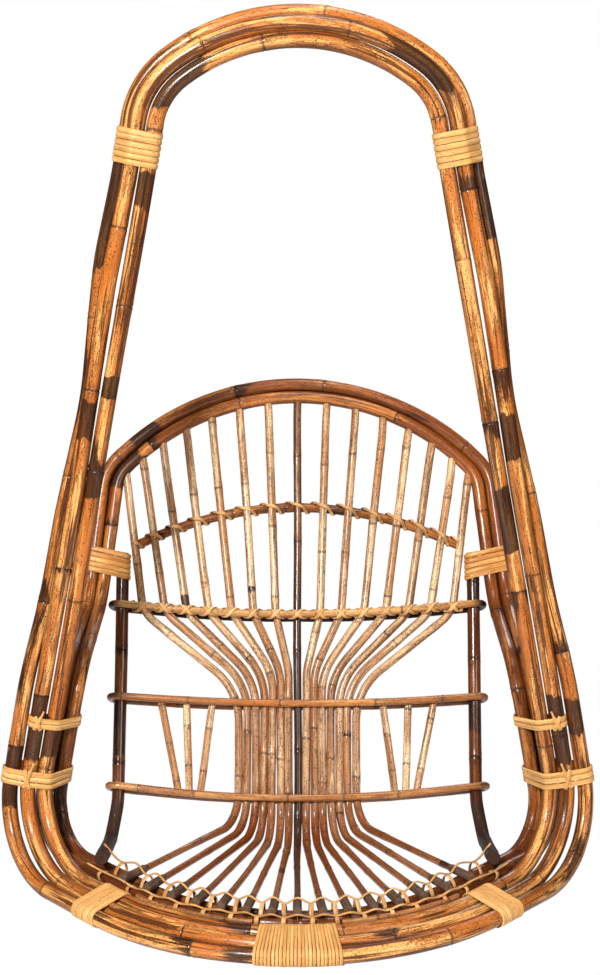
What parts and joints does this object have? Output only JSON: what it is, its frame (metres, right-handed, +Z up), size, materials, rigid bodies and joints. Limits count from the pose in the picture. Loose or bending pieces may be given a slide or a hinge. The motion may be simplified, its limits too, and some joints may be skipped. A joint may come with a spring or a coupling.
{
  "type": "cane swing chair",
  "caption": "Hanging cane swing chair: triple-cane hoop, arched back with a waisted fan of spindles that bends forward into the seat, split-cane bindings.",
  "frame": {"origin": "underside of the top of the hoop, in the middle, where a hook or rope carries the chair", "axes": "+Z up, +Y to the back of the chair, +X to the right seen from the front"},
  "size_m": [0.7238, 0.6299, 1.0429],
  "materials": {
    "cane_lacquered": "lacquered golden brown cane with dark scorched patches and node rings, satin gloss",
    "cane_pale": "slim pale cane under clear lacquer, slightly mottled",
    "cane_dark": "dark red-brown stained cane, glossy",
    "cane_strip": "split cane strip, straw coloured, satin"
  },
  "bodies": {
    "root": {"back_arch_cane_inner": "cane_lacquered", "back_arch_cane_middle": "cane_lacquered", "back_arch_cane_outer": "cane_lacquered", "back_bow": "cane_dark", "back_rail": "cane_lacquered", "centre_wrap": "cane_strip", "corner_wraps": "cane_strip", "hoop_cane_inner": "cane_lacquered", "hoop_cane_middle": "cane_lacquered", "hoop_cane_outer": "cane_lacquered", "lower_ties": "cane_strip", "lower_waist_rail": "cane_lacquered", "rim_edge_cane_left": "cane_lacquered", "rim_edge_cane_right": "cane_lacquered", "side_post_left": "cane_dark", "side_post_right": "cane_dark", "side_stick_left_1": "cane_pale", "side_stick_left_2": "cane_pale", "side_stick_left_3": "cane_pale", "side_stick_right_1": "cane_pale", "side_stick_right_2": "cane_pale", "side_stick_right_3": "cane_pale", "side_wraps": "cane_strip", "spindle_01": "cane_pale", "spindle_02": "cane_pale", "spindle_03": "cane_pale", "spindle_04": "cane_pale", "spindle_05": "cane_pale", "spindle_06": "cane_pale", "spindle_07": "cane_pale", "spindle_08": "cane_dark", "spindle_09": "cane_pale", "spindle_10": "cane_pale", "spindle_11": "cane_pale", "spindle_12": "cane_pale", "spindle_13": "cane_pale", "spindle_14": "cane_pale", "spindle_15": "cane_pale", "top_wraps": "cane_strip", "upper_ties": "cane_strip", "upper_waist_rail": "cane_lacquered"}
  },
  "joints": []
}
